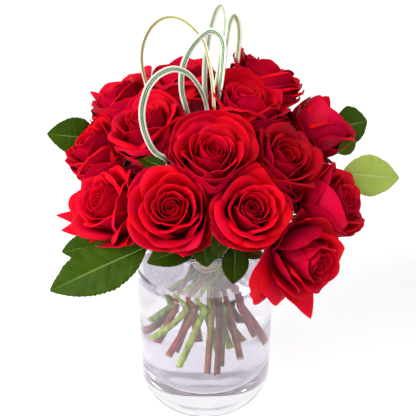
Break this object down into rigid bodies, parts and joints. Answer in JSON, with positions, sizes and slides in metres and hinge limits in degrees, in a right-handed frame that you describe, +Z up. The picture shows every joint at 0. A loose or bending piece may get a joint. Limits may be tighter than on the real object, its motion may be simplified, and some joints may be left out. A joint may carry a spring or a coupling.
{
  "type": "roses in a glass vase",
  "caption": "Dome of open red roses with dark leaves and looped striped grass, tied at the neck and standing in a clear cylinder vase with water.",
  "frame": {"origin": "centre of the vase's flat foot, on the surface it stands on", "axes": "+Z up along the vase's axis; -Y towards the side the picture shows, +X to the picture's right"},
  "size_m": [0.3037, 0.243, 0.3875],
  "materials": {
    "vase": "clear thick glass, polished, faint lavender-grey cast",
    "water": null,
    "tie": "dry raffia strands, matt",
    "petals": null,
    "stems": "rose stems, green to red-brown bark with thorns, pale cut ends",
    "leaves": null,
    "grass": null
  },
  "bodies": {
    "root": {"vase": "vase", "water": "water", "tie": "tie", "bloom_01": "petals", "bloom_02": "petals", "bloom_03": "petals", "bloom_04": "petals", "bloom_05": "petals", "bloom_06": "petals", "bloom_07": "petals", "bloom_08": "petals", "bloom_09": "petals", "bloom_10": "petals", "bloom_11": "petals", "bloom_12": "petals", "bloom_13": "petals", "bloom_14": "petals", "bloom_15": "petals", "bloom_16": "petals", "bloom_17": "petals", "bloom_18": "petals", "stem_01": "stems", "stem_02": "stems", "stem_03": "stems", "stem_04": "stems", "stem_05": "stems", "stem_06": "stems", "stem_07": "stems", "stem_08": "stems", "stem_09": "stems", "stem_10": "stems", "stem_11": "stems", "stem_12": "stems", "stem_13": "stems", "stem_14": "stems", "stem_15": "stems", "stem_16": "stems", "stem_17": "stems", "stem_18": "stems", "leaf_left_upper": "leaves", "leaf_left_middle": "leaves", "leaf_left_lower": "leaves", "leaf_front_left": "leaves", "leaf_front_centre": "leaves", "leaf_front_small": "leaves", "leaf_front_right": "leaves", "leaf_pale_right": "leaves", "leaf_back_right": "leaves", "leaf_right_small": "leaves", "leaf_right_light": "leaves", "leaf_between": "leaves", "leaf_back_first": "leaves", "leaf_back_second": "leaves", "leaf_back_third": "leaves", "grass_front_loop": "grass", "grass_middle_loop": "grass", "grass_left_loop": "grass", "grass_tall_loop": "grass", "grass_right_loop": "grass"}
  },
  "joints": []
}
